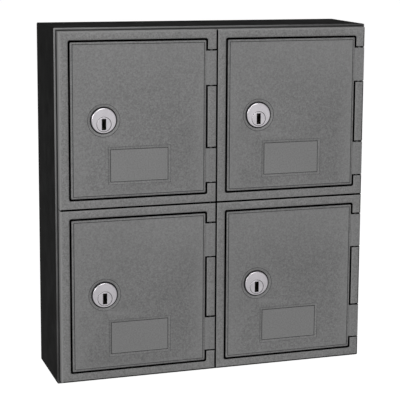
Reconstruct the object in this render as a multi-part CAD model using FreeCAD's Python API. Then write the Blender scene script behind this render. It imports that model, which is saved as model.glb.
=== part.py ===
"""Wall-mounted locker cabinet: a black steel case holding four identical cast doors in cast frames.

Every piece of a cell is drawn once in the cell's own coordinates and copied to the four cells:
x runs from the cell's left seam, y from the plane of the frame faces towards the wall, z from the
cell's lower seam. The finished row stands on z = 0, is centred on x and y, and faces -Y.
"""
import FreeCAD, Part
import math
import os

# ---- driving dimensions, millimetres ----
CELL_WIDTH = 139.7
CELL_HEIGHT = 152.4
COLUMNS = 2
ROWS = 2
CASE_DEPTH = 74.0
SHEET = 1.6
FRAME_DEPTH = 8.0
CASE_REVEAL = 0.7           # open step between the block of frames and the case sheet around it
SEAM = 0.6                  # gap between neighbouring frames
DOOR_GAP = 1.0              # gap around a door

SIDE_BAR = 8.5              # width of a frame's left bar, from the cell's seam
END_BAR = 8.2               # width of its top and bottom bars
HINGE_BAR = 8.85            # width of the knuckle column on the right
LIP_INSET = 16.0            # from the cell's seam to the clear window
LIP_THICK = 2.6
FRAME_ROUND = 0.8
KNUCKLE_ROUND = 1.2

DOOR_THICK = 5.0
DOOR_SKIN = 2.6
DOOR_RIM = 5.0
DOOR_ROUND = 1.9
DOOR_CORNER = 1.2

PIN_RADIUS = 1.2
PIN_DEPTH = 3.4             # hinge axis behind the frame faces
BARREL_RADIUS = 4.2
BARREL_SINK = 0.5           # knuckle front behind the door face
BARREL_CORNER = 1.5
KNUCKLE_INNER = 27.5        # knuckle joints, measured from mid-height
KNUCKLE_OUTER = 58.0
KNUCKLE_GAP = 0.8
RUNNING = 0.06              # radial clearance of a turning fit
PIN_END = 6.0

LABEL_WIDTH = 55.6
LABEL_HEIGHT = 32.6
LABEL_CENTRE_Z = 36.8
LABEL_BEVEL = 2.1
LABEL_DEPTH = 0.8

LOCK_X = 38.4
HEAD_RADIUS = 10.8
HEAD_PROUD = 0.8
HEAD_SEAT = 1.7
POCKET_RADIUS = 11.8
DISH_RADIUS = 14.2
DISH_DEPTH = 0.9
BARREL_THREAD_RADIUS = 9.4
BARREL_FLAT = 8.3           # half the width across the two flats
LOCK_LENGTH = 15.5
LOCK_BOSS_RADIUS = 16.0
LOCK_HOLE_GAP = 0.1
PLUG_DROP = 3.2             # plug axis below the lock's centre
PLUG_HEAD_RADIUS = 6.3
PLUG_HEAD_LENGTH = 2.0
PLUG_RADIUS = 5.4
KEYWAY_WIDTH = 3.3
KEYWAY_HEIGHT = 9.4
KEYWAY_DEPTH = 12.0
NUT_ACROSS_FLATS = 25.4
NUT_THICK = 3.5

WAFER_COUNT = 5
WAFER_THICK = 0.9
WAFER_PITCH = 2.0
WAFER_WIDTH = 5.0
WAFER_HEIGHT = 9.4
WAFER_WINDOW = 5.4
WAFER_STEP = 0.4            # how far each window is shifted from the last
WAFER_PLAY = 0.1

CAM_THICK = 1.6
CAM_WIDTH = 11.0
CAM_LENGTH = 27.0
CAM_HEEL = 7.0
CAM_SHOULDER = 10.0         # joggle start and end, from the plug axis
CAM_TOE = 16.0
CAM_TIP_FACE = 10.3         # front face of the cam's tip, behind the frame faces
TAIL_SIDE = 5.0
CAM_GAP = 0.2
CAM_SCREW_RADIUS = 1.5
CAM_SCREW_HEAD_RADIUS = 4.0
CAM_SCREW_HEAD = 2.0
CAM_SCREW_LENGTH = 3.0

SCREW_RADIUS = 1.5
SCREW_HEAD_RADIUS = 2.8
SCREW_HEAD_DEPTH = 1.4
SCREW_LENGTH = 6.4
SCREW_SIDE_INSET = 30.0
DRIVE_LENGTH = 2.8
DRIVE_WIDTH = 0.7
DRIVE_DEPTH = 0.8

WALL_HOLE_RADIUS = 3.6
WALL_HOLE_SPAN_X = 203.2
WALL_HOLE_SPAN_Z = 228.6

# ---- worked out from them ----
CASE_MARGIN = CASE_REVEAL + SHEET
CASE_HALF = COLUMNS * CELL_WIDTH / 2 + CASE_MARGIN
CASE_HEIGHT = ROWS * CELL_HEIGHT + 2 * CASE_MARGIN
BACK = FRAME_DEPTH + CASE_DEPTH
PLATE_BACK = FRAME_DEPTH + SHEET
FACE_Y = HEAD_PROUD - (BACK + HEAD_PROUD) / 2
MID_Z = CELL_HEIGHT / 2
HINGE_X = CELL_WIDTH - SEAM / 2 - BARREL_RADIUS
LIP_FRONT = FRAME_DEPTH - LIP_THICK
KNUCKLE_LEFT = CELL_WIDTH - HINGE_BAR
DOOR_LEFT = SIDE_BAR + DOOR_GAP
DOOR_RIGHT = KNUCKLE_LEFT - DOOR_GAP
DOOR_BOTTOM = END_BAR + DOOR_GAP
DOOR_TOP = CELL_HEIGHT - DOOR_BOTTOM
PLUG_Z = MID_Z - PLUG_DROP
TAIL_END = LOCK_LENGTH + CAM_GAP + CAM_THICK
CAM_BACK = LOCK_LENGTH + CAM_GAP
EPS = 0.01                  # overshoot of a cutting tool past the face it opens


def box(x0, x1, y0, y1, z0, z1):
    """Block between two corners."""
    return Part.makeBox(x1 - x0, y1 - y0, z1 - z0, FreeCAD.Vector(x0, y0, z0))


def rod_y(radius, x, z, y0, y1):
    """Round bar running front to back."""
    return Part.makeCylinder(radius, y1 - y0, FreeCAD.Vector(x, y0, z), FreeCAD.Vector(0, 1, 0))


def rod_z(radius, x, y, z0, z1):
    """Round bar standing upright."""
    return Part.makeCylinder(radius, z1 - z0, FreeCAD.Vector(x, y, z0))


def cone_y(radius0, radius1, x, z, y0, y1):
    """Cone frustum running front to back."""
    return Part.makeCone(radius0, radius1, y1 - y0, FreeCAD.Vector(x, y0, z), FreeCAD.Vector(0, 1, 0))


def edges_where(shape, test):
    """Edges whose two ends both pass the test."""
    return [e for e in shape.Edges if all(test(v.Point) for v in e.Vertexes)]


def near(a, b):
    """True for two lengths that agree within the modelling tolerance."""
    return abs(a - b) < EPS


def knuckle_spans(grow):
    """The two z ranges of the door's knuckles, each end moved outwards by grow."""
    low = (MID_Z - KNUCKLE_OUTER - grow, MID_Z - KNUCKLE_INNER + grow)
    high = (MID_Z + KNUCKLE_INNER - grow, MID_Z + KNUCKLE_OUTER + grow)
    return [low, high]


# ---- door frame ----
def frame_screw_places():
    """Screw centres (x, z) on a frame's top and bottom lips."""
    low = (END_BAR + LIP_INSET) / 2
    return [
        (x, z)
        for x in (SCREW_SIDE_INSET, CELL_WIDTH - SCREW_SIDE_INSET)
        for z in (low, CELL_HEIGHT - low)
    ]


def frame_screw_blank(x, z):
    """Countersunk screw without its drive recess, head flush with the lip."""
    head = cone_y(SCREW_HEAD_RADIUS, SCREW_RADIUS, x, z, LIP_FRONT, LIP_FRONT + SCREW_HEAD_DEPTH)
    return head.fuse(rod_y(SCREW_RADIUS, x, z, LIP_FRONT, LIP_FRONT + SCREW_LENGTH)).removeSplitter()


def frame_screw(x, z):
    """Countersunk machine screw with a cross recess."""
    reach = DRIVE_LENGTH / 2
    half = DRIVE_WIDTH / 2
    floor = LIP_FRONT + DRIVE_DEPTH
    flat = box(x - reach, x + reach, LIP_FRONT - EPS, floor, z - half, z + half)
    upright = box(x - half, x + half, LIP_FRONT - EPS, floor, z - reach, z + reach)
    return frame_screw_blank(x, z).cut(flat.fuse(upright))


def door_frame():
    """Cast frame: four bars, a stop lip behind the door, and its share of the hinge knuckles."""
    half_seam = SEAM / 2
    right = CELL_WIDTH - half_seam
    frame = box(half_seam, right, 0, FRAME_DEPTH, half_seam, CELL_HEIGHT - half_seam)
    rims = edges_where(frame, lambda p: near(p.y, 0))
    frame = frame.makeFillet(FRAME_ROUND, rims)
    recess = box(SIDE_BAR, KNUCKLE_LEFT, -EPS, LIP_FRONT, END_BAR, CELL_HEIGHT - END_BAR)
    window = box(
        LIP_INSET, CELL_WIDTH - LIP_INSET, 0, FRAME_DEPTH + EPS, LIP_INSET, CELL_HEIGHT - LIP_INSET
    )
    frame = frame.cut(recess.fuse(window))
    corners = [
        e
        for e in edges_where(frame, lambda p: near(p.x, KNUCKLE_LEFT) and p.y < LIP_FRONT)
        if near(e.Vertexes[0].Point.y, 0) and near(e.Vertexes[-1].Point.y, 0)
    ]
    frame = frame.makeFillet(KNUCKLE_ROUND, corners)
    for low, high in knuckle_spans(KNUCKLE_GAP / 2):
        notch = box(DOOR_RIGHT, CELL_WIDTH, -EPS, FRAME_DEPTH + EPS, low, high)
        frame = frame.cut(notch)
    frame = frame.cut(rod_z(PIN_RADIUS, HINGE_X, PIN_DEPTH, PIN_END, CELL_HEIGHT))
    for x, z in frame_screw_places():
        frame = frame.cut(frame_screw_blank(x, z))
    return frame


def hinge_pin():
    """Steel pin through all five knuckles, driven in from the top of the frame."""
    pin = rod_z(PIN_RADIUS, HINGE_X, PIN_DEPTH, PIN_END, CELL_HEIGHT - PIN_END)
    return pin.makeChamfer(PIN_RADIUS / 3, [e for e in pin.Edges if e.Curve.TypeId == "Part::GeomCircle"])


# ---- door ----
def knuckle_section():
    """Outline of a door knuckle seen from above: square front corner rounded over, round back."""
    front = BARREL_SINK
    right = HINGE_X + BARREL_RADIUS
    back_reach = math.sqrt(BARREL_RADIUS**2 - (DOOR_THICK - PIN_DEPTH) ** 2)
    turn = BARREL_CORNER * (1 - math.sqrt(0.5))
    point = FreeCAD.Vector
    start = point(DOOR_RIGHT - DOOR_RIM, front, 0)
    corner_start = point(right - BARREL_CORNER, front, 0)
    corner_mid = point(right - turn, front + turn, 0)
    corner_end = point(right, front + BARREL_CORNER, 0)
    side_end = point(right, PIN_DEPTH, 0)
    back_mid = point(HINGE_X, PIN_DEPTH + BARREL_RADIUS, 0)
    back_end = point(HINGE_X - back_reach, DOOR_THICK, 0)
    finish = point(DOOR_RIGHT - DOOR_RIM, DOOR_THICK, 0)
    edges = [
        Part.makeLine(start, corner_start),
        Part.Arc(corner_start, corner_mid, corner_end).toShape(),
        Part.makeLine(corner_end, side_end),
        Part.Arc(side_end, back_mid, back_end).toShape(),
        Part.makeLine(back_end, finish),
        Part.makeLine(finish, start),
    ]
    return Part.Face(Part.Wire(edges))


def label_recess():
    """Shallow bevelled recess for a label card, cut into the door face."""
    centre_x = CELL_WIDTH / 2
    x0 = centre_x - LABEL_WIDTH / 2
    x1 = centre_x + LABEL_WIDTH / 2
    z0 = LABEL_CENTRE_Z - LABEL_HEIGHT / 2
    z1 = LABEL_CENTRE_Z + LABEL_HEIGHT / 2
    b = LABEL_BEVEL
    return Part.makeWedge(x0, 0, z0, z0 + b, x0 + b, x1, LABEL_DEPTH, z1, z1 - b, x1 - b)


def double_d(radius, flat, y0, y1):
    """Round bar on the lock's centre line with a flat on each side."""
    bar = rod_y(radius, LOCK_X, MID_Z, y0, y1)
    return bar.common(box(LOCK_X - flat, LOCK_X + flat, y0, y1, MID_Z - radius, MID_Z + radius))


def lock_seat():
    """Everything the lock removes from the door: dish, head pocket and double-D hole."""
    dish = cone_y(DISH_RADIUS, POCKET_RADIUS, LOCK_X, MID_Z, 0, DISH_DEPTH)
    pocket = rod_y(POCKET_RADIUS, LOCK_X, MID_Z, 0, HEAD_SEAT)
    hole = double_d(
        BARREL_THREAD_RADIUS + LOCK_HOLE_GAP, BARREL_FLAT + LOCK_HOLE_GAP, 0, DOOR_THICK + EPS
    )
    return dish.fuse(pocket).fuse(hole)


def door():
    """Cast door: rounded panel, hollow back with a lock boss, and two hinge knuckles."""
    panel = box(DOOR_LEFT, DOOR_RIGHT, 0, DOOR_THICK, DOOR_BOTTOM, DOOR_TOP)
    uprights = [e for e in panel.Edges if near(e.Vertexes[0].Point.x, e.Vertexes[1].Point.x)]
    uprights = [e for e in uprights if near(e.Vertexes[0].Point.z, e.Vertexes[1].Point.z)]
    panel = panel.makeFillet(DOOR_CORNER, uprights)
    front_rim = [e for e in panel.Edges if all(near(v.Point.y, 0) for v in e.Vertexes)]
    panel = panel.makeFillet(DOOR_ROUND, front_rim)
    pocket = box(
        DOOR_LEFT + DOOR_RIM,
        DOOR_RIGHT - DOOR_RIM,
        DOOR_SKIN,
        DOOR_THICK + EPS,
        DOOR_BOTTOM + DOOR_RIM,
        DOOR_TOP - DOOR_RIM,
    )
    boss = rod_y(LOCK_BOSS_RADIUS, LOCK_X, MID_Z, DOOR_SKIN - EPS, DOOR_THICK + EPS)
    panel = panel.cut(pocket.cut(boss))
    section = knuckle_section()
    for low, high in knuckle_spans(-KNUCKLE_GAP / 2):
        knuckle = section.copy()
        knuckle.translate(FreeCAD.Vector(0, 0, low))
        panel = panel.fuse(knuckle.extrude(FreeCAD.Vector(0, 0, high - low)))
    panel = panel.removeSplitter()
    panel = panel.cut(rod_z(PIN_RADIUS + RUNNING, HINGE_X, PIN_DEPTH, DOOR_BOTTOM, DOOR_TOP))
    return panel.cut(label_recess()).cut(lock_seat())


# ---- lock ----
def lock_cylinder():
    """Lock housing: round head, threaded barrel with two flats, and the bore for the plug."""
    head = rod_y(HEAD_RADIUS, LOCK_X, MID_Z, -HEAD_PROUD, HEAD_SEAT)
    head = head.makeFillet(HEAD_PROUD, edges_where(head, lambda p: near(p.y, -HEAD_PROUD)))
    barrel = double_d(BARREL_THREAD_RADIUS, BARREL_FLAT, HEAD_SEAT, LOCK_LENGTH)
    seat = PLUG_HEAD_LENGTH - HEAD_PROUD
    bore = rod_y(PLUG_HEAD_RADIUS + RUNNING, LOCK_X, PLUG_Z, -HEAD_PROUD - EPS, seat)
    bore = bore.fuse(rod_y(PLUG_RADIUS + RUNNING, LOCK_X, PLUG_Z, 0, LOCK_LENGTH + EPS))
    return head.fuse(barrel).removeSplitter().cut(bore)


def lock_nut():
    """Hexagon nut that clamps the lock from behind the door."""
    apothem = NUT_ACROSS_FLATS / 2
    radius = apothem / math.cos(math.pi / 6)
    corners = [
        FreeCAD.Vector(
            LOCK_X + radius * math.cos(i * math.pi / 3),
            DOOR_THICK,
            MID_Z + radius * math.sin(i * math.pi / 3),
        )
        for i in range(7)
    ]
    hexagon = Part.Face(Part.makePolygon(corners)).extrude(FreeCAD.Vector(0, NUT_THICK, 0))
    return hexagon.cut(double_d(BARREL_THREAD_RADIUS, BARREL_THREAD_RADIUS, 0, LOCK_LENGTH))


def wafer_blank(index, play):
    """One wafer's outline block, grown all round by play."""
    y0 = PLUG_HEAD_LENGTH + 1 + index * WAFER_PITCH - play
    half_width = WAFER_WIDTH / 2 + play
    half_height = WAFER_HEIGHT / 2 + play
    return box(
        LOCK_X - half_width,
        LOCK_X + half_width,
        y0,
        y0 + WAFER_THICK + 2 * play,
        PLUG_Z - half_height,
        PLUG_Z + half_height,
    )


def lock_wafers():
    """The flat tumblers that the key lines up, each with its window at its own height."""
    wafers = []
    for index in range(WAFER_COUNT):
        shift = (index - (WAFER_COUNT - 1) / 2) * WAFER_STEP
        low = PLUG_Z + shift - WAFER_WINDOW / 2
        half = KEYWAY_WIDTH / 2
        window = box(LOCK_X - half, LOCK_X + half, 0, LOCK_LENGTH, low, low + WAFER_WINDOW)
        wafers.append(wafer_blank(index, 0).cut(window))
    return Part.makeCompound(wafers)


def lock_plug():
    """Turning plug with its keyway, wafer slots, square tail and screw hole."""
    seat = PLUG_HEAD_LENGTH - HEAD_PROUD
    head = rod_y(PLUG_HEAD_RADIUS, LOCK_X, PLUG_Z, -HEAD_PROUD, seat - RUNNING)
    body = rod_y(PLUG_RADIUS, LOCK_X, PLUG_Z, 0, LOCK_LENGTH)
    half_tail = TAIL_SIDE / 2
    tail = box(
        LOCK_X - half_tail, LOCK_X + half_tail, LOCK_LENGTH, TAIL_END, PLUG_Z - half_tail, PLUG_Z + half_tail
    )
    plug = head.fuse(body).fuse(tail).removeSplitter()
    half = KEYWAY_WIDTH / 2
    tall = KEYWAY_HEIGHT / 2
    keyway = box(
        LOCK_X - half, LOCK_X + half, -HEAD_PROUD - EPS, KEYWAY_DEPTH, PLUG_Z - tall, PLUG_Z + tall
    )
    plug = plug.cut(keyway)
    for index in range(WAFER_COUNT):
        plug = plug.cut(wafer_blank(index, WAFER_PLAY))
    hole = rod_y(CAM_SCREW_RADIUS, LOCK_X, PLUG_Z, TAIL_END - CAM_SCREW_LENGTH, TAIL_END + EPS)
    return plug.cut(hole)


def lock_cam():
    """Joggled cam, hanging down from the plug's tail while the door is unlocked."""
    slope = (CAM_BACK - CAM_TIP_FACE) / (CAM_TOE - CAM_SHOULDER)
    shift = CAM_THICK * (math.sqrt(1 + slope**2) - 1) / slope
    outline = [
        (CAM_HEEL, CAM_BACK),
        (-CAM_SHOULDER, CAM_BACK),
        (-CAM_TOE, CAM_TIP_FACE),
        (-CAM_LENGTH, CAM_TIP_FACE),
        (-CAM_LENGTH, CAM_TIP_FACE + CAM_THICK),
        (-CAM_TOE - shift, CAM_TIP_FACE + CAM_THICK),
        (-CAM_SHOULDER - shift, CAM_BACK + CAM_THICK),
        (CAM_HEEL, CAM_BACK + CAM_THICK),
    ]
    left = LOCK_X - CAM_WIDTH / 2
    points = [FreeCAD.Vector(left, y, PLUG_Z + z) for z, y in outline]
    cam = Part.Face(Part.makePolygon(points + points[:1])).extrude(FreeCAD.Vector(CAM_WIDTH, 0, 0))
    ends = (PLUG_Z + CAM_HEEL, PLUG_Z - CAM_LENGTH)
    short = [
        e
        for e in cam.Edges
        if near(e.Length, CAM_THICK) and any(near(e.CenterOfMass.z, z) for z in ends)
    ]
    cam = cam.makeFillet(CAM_WIDTH / 3, short)
    half = TAIL_SIDE / 2
    hole = box(LOCK_X - half, LOCK_X + half, 0, BACK, PLUG_Z - half, PLUG_Z + half)
    return cam.cut(hole)


def cam_screw():
    """Round-headed screw that holds the cam on the plug's tail."""
    head = rod_y(CAM_SCREW_HEAD_RADIUS, LOCK_X, PLUG_Z, TAIL_END, TAIL_END + CAM_SCREW_HEAD)
    head = head.makeFillet(
        CAM_SCREW_HEAD / 2, edges_where(head, lambda p: near(p.y, TAIL_END + CAM_SCREW_HEAD))
    )
    shank = rod_y(CAM_SCREW_RADIUS, LOCK_X, PLUG_Z, TAIL_END - CAM_SCREW_LENGTH, TAIL_END)
    half = DRIVE_WIDTH / 2
    reach = CAM_SCREW_HEAD_RADIUS
    top = TAIL_END + CAM_SCREW_HEAD
    slot = box(LOCK_X - reach, LOCK_X + reach, top - DRIVE_DEPTH, top + EPS, PLUG_Z - half, PLUG_Z + half)
    return head.fuse(shank).removeSplitter().cut(slot)


# ---- case ----
def cells():
    """Name and lower-left corner (x, z) of each cell."""
    names = {(0, 0): "lower_left", (1, 0): "lower_right", (0, 1): "upper_left", (1, 1): "upper_right"}
    for (column, row), name in names.items():
        yield name, column * CELL_WIDTH - COLUMNS * CELL_WIDTH / 2, CASE_MARGIN + row * CELL_HEIGHT


def case_side(sign):
    """Side sheet, standing between the top and bottom sheets."""
    inner = CASE_HALF - SHEET
    x0, x1 = sorted((sign * inner, sign * CASE_HALF))
    return box(x0, x1, FRAME_DEPTH, BACK, SHEET, CASE_HEIGHT - SHEET)


def case_end(z0):
    """Top or bottom sheet over the case's full width."""
    return box(-CASE_HALF, CASE_HALF, FRAME_DEPTH, BACK, z0, z0 + SHEET)


def back_panel():
    """Back sheet with four holes for wall screws."""
    inner = CASE_HALF - SHEET
    panel = box(-inner, inner, BACK - SHEET, BACK, SHEET, CASE_HEIGHT - SHEET)
    for x in (-WALL_HOLE_SPAN_X / 2, WALL_HOLE_SPAN_X / 2):
        for z in (-WALL_HOLE_SPAN_Z / 2, WALL_HOLE_SPAN_Z / 2):
            panel = panel.cut(rod_y(WALL_HOLE_RADIUS, x, CASE_HEIGHT / 2 + z, FRAME_DEPTH, BACK + EPS))
    return panel


def face_plate():
    """Sheet behind the frames: four windows and a threaded hole for each frame screw."""
    inner = CASE_HALF - SHEET
    plate = box(-inner, inner, FRAME_DEPTH, PLATE_BACK, SHEET, CASE_HEIGHT - SHEET)
    for _, x0, z0 in cells():
        window = box(
            x0 + LIP_INSET,
            x0 + CELL_WIDTH - LIP_INSET,
            0,
            BACK,
            z0 + LIP_INSET,
            z0 + CELL_HEIGHT - LIP_INSET,
        )
        plate = plate.cut(window)
        for x, z in frame_screw_places():
            plate = plate.cut(rod_y(SCREW_RADIUS, x0 + x, z0 + z, 0, BACK))
    return plate


def shelf():
    """Sheet between the two rows."""
    inner = CASE_HALF - SHEET
    middle = CASE_HEIGHT / 2
    return box(-inner, inner, PLATE_BACK, BACK - SHEET, middle - SHEET / 2, middle + SHEET / 2)


def divider(upper):
    """Upright sheet between the two columns, above or below the shelf."""
    middle = CASE_HEIGHT / 2
    low, high = (middle + SHEET / 2, CASE_HEIGHT - SHEET) if upper else (SHEET, middle - SHEET / 2)
    return box(-SHEET / 2, SHEET / 2, PLATE_BACK, BACK - SHEET, low, high)


def frame_screws():
    """All the screws that hold the four frames to the face plate."""
    screws = []
    for _, x0, z0 in cells():
        for x, z in frame_screw_places():
            screw = frame_screw(x, z)
            screw.translate(FreeCAD.Vector(x0, 0, z0))
            screws.append(screw)
    return Part.makeCompound(screws)


def export(name, shape, x0=0.0, z0=0.0):
    """Move a shape from drawing coordinates to the row frame and write it as one node."""
    placed = shape.copy()
    placed.translate(FreeCAD.Vector(x0, FACE_Y, z0))
    for solid in placed.Solids:
        if not solid.isValid():
            raise ValueError(f"{name} has an invalid solid")
    placed.exportStep(f"parts/{name}.step")


def main():
    """Write every node."""
    os.makedirs("parts", exist_ok=True)
    export("side_panel_left", case_side(-1))
    export("side_panel_right", case_side(1))
    export("top_panel", case_end(CASE_HEIGHT - SHEET))
    export("bottom_panel", case_end(0))
    export("back_panel", back_panel())
    export("face_plate", face_plate())
    export("shelf", shelf())
    export("divider_upper", divider(True))
    export("divider_lower", divider(False))
    export("frame_screws", frame_screws())
    pieces = {
        "door_frame": door_frame(),
        "hinge_pin": hinge_pin(),
        "door": door(),
        "lock_cylinder": lock_cylinder(),
        "lock_nut": lock_nut(),
        "lock_plug": lock_plug(),
        "lock_wafers": lock_wafers(),
        "lock_cam": lock_cam(),
        "cam_screw": cam_screw(),
    }
    for cell, x0, z0 in cells():
        for piece, shape in pieces.items():
            export(f"{piece}_{cell}", shape, x0, z0)


main()
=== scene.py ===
"""Looks of a small wall locker: a black folded case with cast doors, frames and cam locks.

Every round, rounded or engraved piece is modelled here around the frame that the CAD model gives,
and the plain sheets inside the case keep their CAD shape and get a finish. Sizes written as fields
are in millimetres in a cell's own coordinates: x from the cell's left seam, y from the plane of the
frame faces towards the wall, z from the cell's lower seam.
"""
import logging
import math
from contextlib import contextmanager
from dataclasses import dataclass, field
from enum import Enum
from typing import Callable, Iterator

import bpy
from mathutils import Euler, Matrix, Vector


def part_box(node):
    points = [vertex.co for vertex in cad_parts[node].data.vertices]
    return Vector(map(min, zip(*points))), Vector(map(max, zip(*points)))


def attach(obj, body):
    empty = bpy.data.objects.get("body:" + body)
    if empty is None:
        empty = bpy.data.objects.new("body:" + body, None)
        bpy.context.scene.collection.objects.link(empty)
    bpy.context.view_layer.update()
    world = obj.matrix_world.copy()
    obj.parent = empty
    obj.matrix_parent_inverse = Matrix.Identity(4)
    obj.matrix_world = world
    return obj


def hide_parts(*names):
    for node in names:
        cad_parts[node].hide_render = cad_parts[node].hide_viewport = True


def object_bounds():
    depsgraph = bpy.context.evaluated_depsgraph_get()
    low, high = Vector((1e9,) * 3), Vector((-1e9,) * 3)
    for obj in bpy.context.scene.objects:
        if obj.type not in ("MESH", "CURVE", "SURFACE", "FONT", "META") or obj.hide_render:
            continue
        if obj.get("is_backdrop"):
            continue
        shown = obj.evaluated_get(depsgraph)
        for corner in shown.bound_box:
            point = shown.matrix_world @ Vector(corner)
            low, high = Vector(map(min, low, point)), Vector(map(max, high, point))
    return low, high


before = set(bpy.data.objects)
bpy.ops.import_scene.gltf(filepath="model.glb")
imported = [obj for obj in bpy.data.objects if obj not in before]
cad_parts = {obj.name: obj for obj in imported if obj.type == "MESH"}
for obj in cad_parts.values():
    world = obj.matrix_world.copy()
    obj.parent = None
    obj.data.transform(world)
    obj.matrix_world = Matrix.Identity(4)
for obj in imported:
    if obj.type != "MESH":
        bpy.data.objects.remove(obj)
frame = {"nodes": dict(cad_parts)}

LOG = logging.getLogger("locker")
MM = 0.001
LEVEL = 0.99  # a face is level with the front when its normal leans this far that way
LEAN = 0.15  # a face leans to a side from here
SAME = 0.999  # two directions count as the same from here
OVER = 1.0  # how far a cutting tool runs past the face that it cuts
THROUGH = 20.0  # deeper than any piece of a door is thick
CAD_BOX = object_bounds()

FINE, MEDIUM, COARSE = 96, 64, 32  # how many flats go round a bar

Piece = bpy.types.Object
Material = bpy.types.Material
Socket = bpy.types.NodeSocket
FaceTest = Callable[[Vector], bool]
EdgeTest = Callable[[Vector, Vector], bool]
Span = tuple[float, float]
Point = tuple[float, float, float]
Colour = tuple[float, float, float, float]


class Facing(Enum):
    """The six directions a flat face can look in."""

    LEFT = (-1, 0, 0)
    RIGHT = (1, 0, 0)
    FRONT = (0, -1, 0)
    BACK = (0, 1, 0)
    DOWN = (0, 0, -1)
    UP = (0, 0, 1)

    def matches(self, normal: Vector) -> bool:
        """Tell whether a normal looks this way."""
        return normal.dot(Vector(self.value)) > SAME


class Shaping(Enum):
    """What one body does to another."""

    CUT = "DIFFERENCE"
    FUSE = "UNION"
    KEEP = "INTERSECT"


@dataclass(frozen=True)
class Place:
    """A drawing origin in the shared frame, so that pieces can be drawn in millimetres."""

    origin: Point

    def at(self, x: float, y: float, z: float) -> Vector:
        """Turn drawing millimetres into metres of the shared frame."""
        return Vector(self.origin) + Vector((x, y, z)) * MM

    def local(self, point: Vector) -> Vector:
        """Turn a point of the shared frame back into drawing millimetres."""
        return (point - Vector(self.origin)) / MM


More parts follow.
